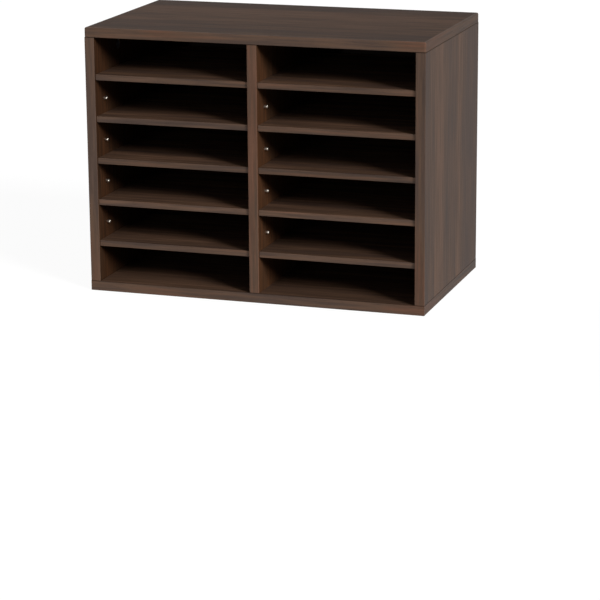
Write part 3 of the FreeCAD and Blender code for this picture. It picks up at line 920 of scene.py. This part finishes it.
def addCamLocks():
    # made along Z with the face that is turned at the top and the bolt coming in from +X
    radius, depth, chamfer = camLock["radius"], camLock["depth"], camLock["chamfer"]
    drum = turnSteps("camLock", [(0, radius - chamfer), (chamfer, radius), (depth, radius)],
                     camLock["sides"])
    softenRim(drum, depth, radius, camLock["rim"], camLock["rimSteps"])
    axisHeight = boardThickness / 2 - camLock["skin"]    # of the bolt
    half, inner = camLock["pocket"] / 2, radius - camLock["wall"]
    pocket = turnSteps("pocket", [(axisHeight - half, inner), (axisHeight + half, inner)],
                       camLock["pocketSides"])
    cutAway(drum, pocket)
    slot, opening, reach = camLock["neckSlot"] / 2, half - camLock["lip"], radius + past
    cutAway(drum, boxCutter((0, -slot, axisHeight - slot), (reach, reach, axisHeight + slot)))
    cutAway(drum, boxCutter((-half, 0, axisHeight - opening), (half, reach, axisHeight + opening)))
    cutCross(drum, camLock, depth - camLock["crossDepth"], depth + past)
    arrow = turnSteps("arrow", [(depth - camLock["arrowDepth"], camLock["arrowRadius"]),
                                (depth + past, camLock["arrowRadius"])], camLock["arrowSides"])
    arrow.data.transform(Matrix.Translation((camLock["arrowPlace"] * mm, 0, 0)))
    cutAway(drum, arrow)
    places = []
    for middle, facing, y in stations(camLock["setback"]):
        # Z of the drum goes to the face, its X goes up to the bolt
        turn = Matrix(((0, 0, facing, 0), (0, 1, 0, 0), (1, 0, 0, 0), (0, 0, 0, 1)))
        foot = (middle - facing * axisHeight) * mm
        places.append(Matrix.Translation((foot, y * mm, topJoint - camLock["drop"] * mm)) @ turn)
    locks = copies("cam_lock_drums", drum, places)
    # a cam that faces +X is the mirror of the drum, which turned its faces inwards
    bpy.ops.object.mode_set(mode="EDIT")
    faceOutwards()
    settle(locks, metals["darkDieCastZinc"], "cam_locks")


def addCamBolts():
    bolt = turnSteps("camBolt", camBolt["steps"], camBolt["sides"])
    bolt = joined("camBolt", [bolt, threadRidge("boltThread", camBolt["thread"])])
    places = [turnedTo((0, 0, -1), (middle, y, topJoint / mm))
              for middle, _, y in stations(camLock["setback"])]
    settle(copies("cam_bolt_set", bolt, places), metals["brightZincPlatedSteel"], "cam_bolts")


addCamLocks()
addCamBolts()
print("cams and bolts made")


# dowels, connector screws and back screws

dowel = {
    "radius": 4.0,
    "length": 30.0,
    "chamfer": 1.0,
    "flutes": 20,
    "fluteDepth": 0.35,
    "inPanel": 10.0,      # the rest is in the upright
    "setback": 32.0,
    "smoothAngle": 25,
}
connectorScrew = {
    # from the recessed head up to the tip, as (height, radius) in mm
    "steps": [(0, 4.7), (0.25, 5.0), (0.6, 5.0), (2.2, 3.5), (14.7, 3.5), (14.701, 2.2), (44, 2.2),
              (48, 0.7)],
    "sides": 32,
    "thread": {"core": 2.2, "crest": 3.5, "pitch": 3.0, "start": 17.0, "end": 44.0},
    "socketSides": 6,
    "socketRadius": 2.31,    # to the corners of a hexagon 4 mm across
    "socketDepth": 2.5,
    "recess": 0.3,
    "setback": 64.0,
}
backScrew = {
    # from the top of the pan head through the back to the tip, as (depth, radius) in mm
    "steps": [(-2.2, 1.9), (-1.9, 2.7), (-1.3, 3.2), (-0.7, 3.45), (-0.2, 3.5), (0, 3.4), (0.001, 1.35),
              (11.5, 1.35), (16, 0.25)],
    "sides": 28,
    "thread": {"core": 1.35, "crest": 1.75, "pitch": 1.3, "start": 1.6, "end": 12.0},
    "crossWidth": 0.95,
    "crossLength": 3.6,
    "crossDepth": 1.3,
    "heights": (85.0, 203.0, 321.0),
}


def addDowels():
    length, chamfer, radius = dowel["length"], dowel["chamfer"], dowel["radius"]
    sides = dowel["flutes"] * 2
    peg = turnSteps("dowelPeg", [(0, radius - chamfer), (chamfer, radius), (length - chamfer, radius),
                                 (length, radius - chamfer)], sides)

    def inFlute(corner):
        # every second corner round the peg, except at its chamfered ends
        number = round(math.atan2(corner.co.y, corner.co.x) / (2 * math.pi) * sides)
        return number % 2 == 1 and abs(corner.co.xy.length - radius * mm) < hair

    pick(peg, "VERT", inFlute)
    share = 1 - dowel["fluteDepth"] / radius
    bpy.ops.transform.resize(value=(share, share, 1), center_override=(0, 0, 0))
    bpy.ops.object.mode_set(mode="OBJECT")
    inUpright = length - dowel["inPanel"]
    places = []
    for middle, _, y in stations(dowel["setback"]):
        places.append(turnedTo((0, 0, 1), (middle, y, topJoint / mm - inUpright)))
        places.append(turnedTo((0, 0, -1), (middle, y, bottomJoint / mm + inUpright)))
    settle(copies("dowel_pegs", peg, places), turnedBeech(), "wood_dowels", dowel["smoothAngle"])


def addConnectorScrews():
    screw = turnSteps("connectorScrew", connectorScrew["steps"], connectorScrew["sides"])
    socket = turnSteps("socket", [(-past, connectorScrew["socketRadius"]),
                                  (connectorScrew["socketDepth"], connectorScrew["socketRadius"])],
                       connectorScrew["socketSides"])
    cutAway(screw, socket)
    screw = joined("connectorScrew", [screw, threadRidge("screwThread", connectorScrew["thread"])])
    places = [turnedTo((0, 0, 1), (middle, y, connectorScrew["recess"]))
              for middle, _, y in stations(connectorScrew["setback"])]
    settle(copies("connector_screw_set", screw, places), metals["brightZincPlatedSteel"],
           "connector_screws")


def addBackScrews():
    screw = turnSteps("backScrew", backScrew["steps"], backScrew["sides"])
    headTop = backScrew["steps"][0][0]
    cutCross(screw, backScrew, headTop - past, headTop + backScrew["crossDepth"])
    screw = joined("backScrew", [screw, threadRidge("backScrewThread", backScrew["thread"])])
    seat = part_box("back_panel")[1].y / mm
    places = [turnedTo((0, -1, 0), (0, seat, height)) for height in backScrew["heights"]]
    settle(copies("back_screw_set", screw, places), metals["brightZincPlatedSteel"], "back_screws")


addDowels()
addConnectorScrews()
addBackScrews()
print("dowels and screws made")
